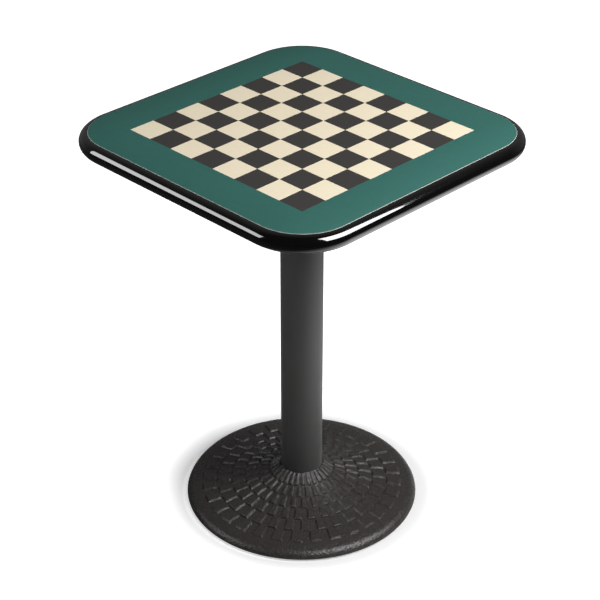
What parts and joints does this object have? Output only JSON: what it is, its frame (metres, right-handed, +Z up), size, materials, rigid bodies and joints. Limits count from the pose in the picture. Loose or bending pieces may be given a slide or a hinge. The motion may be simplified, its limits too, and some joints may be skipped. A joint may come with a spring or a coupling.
{
  "type": "games table",
  "caption": "Square pedestal games table: laminate top with an inlaid chessboard and a half-round resin edge, one round steel column, and a round cobbled cast foot on levelling glides.",
  "frame": {"origin": "on the floor under the middle of the column", "axes": "+Z up; X and Y along the sides of the top; the players sit at -Y and +Y, each with a light corner square at the right hand"},
  "size_m": [0.5904, 0.5904, 0.7493],
  "materials": {
    "green_laminate": "matte laminate",
    "cream_laminate": "matte laminate",
    "charcoal_laminate": "matte laminate",
    "particle_board": "raw board",
    "backer_laminate": "matte laminate",
    "black_resin": "polished cast resin",
    "black_casting": "matte black paint over a sand casting",
    "powder_coated_steel": "textured black powder coat",
    "zinc_steel": "zinc plated",
    "glide_nylon": "moulded nylon"
  },
  "bodies": {
    "table": {"green_field": "green_laminate", "light_squares": "cream_laminate", "dark_squares": "charcoal_laminate", "top_core": "particle_board", "backer_sheet": "backer_laminate", "edge_band": "black_resin", "spider": "black_casting", "spider_screws": "zinc_steel", "column_tube": "powder_coated_steel", "tie_rod": "zinc_steel", "upper_washer": "zinc_steel", "upper_nut": "zinc_steel", "lower_washer": "zinc_steel", "lower_nut": "zinc_steel", "foot_casting": "black_casting", "lock_nuts": "zinc_steel"},
    "glide_1": {"glide_pad_1": "glide_nylon", "glide_stud_1": "zinc_steel"},
    "glide_2": {"glide_pad_2": "glide_nylon", "glide_stud_2": "zinc_steel"},
    "glide_3": {"glide_pad_3": "glide_nylon", "glide_stud_3": "zinc_steel"},
    "glide_4": {"glide_pad_4": "glide_nylon", "glide_stud_4": "zinc_steel"}
  },
  "joints": [
    {"name": "glide_1_screw", "type": "slide", "parent": "table", "child": "glide_1", "axis": [0, 0, -1], "range_m": [0, 0.006]},
    {"name": "glide_2_screw", "type": "slide", "parent": "table", "child": "glide_2", "axis": [0, 0, -1], "range_m": [0, 0.006]},
    {"name": "glide_3_screw", "type": "slide", "parent": "table", "child": "glide_3", "axis": [0, 0, -1], "range_m": [0, 0.006]},
    {"name": "glide_4_screw", "type": "slide", "parent": "table", "child": "glide_4", "axis": [0, 0, -1], "range_m": [0, 0.006]}
  ]
}
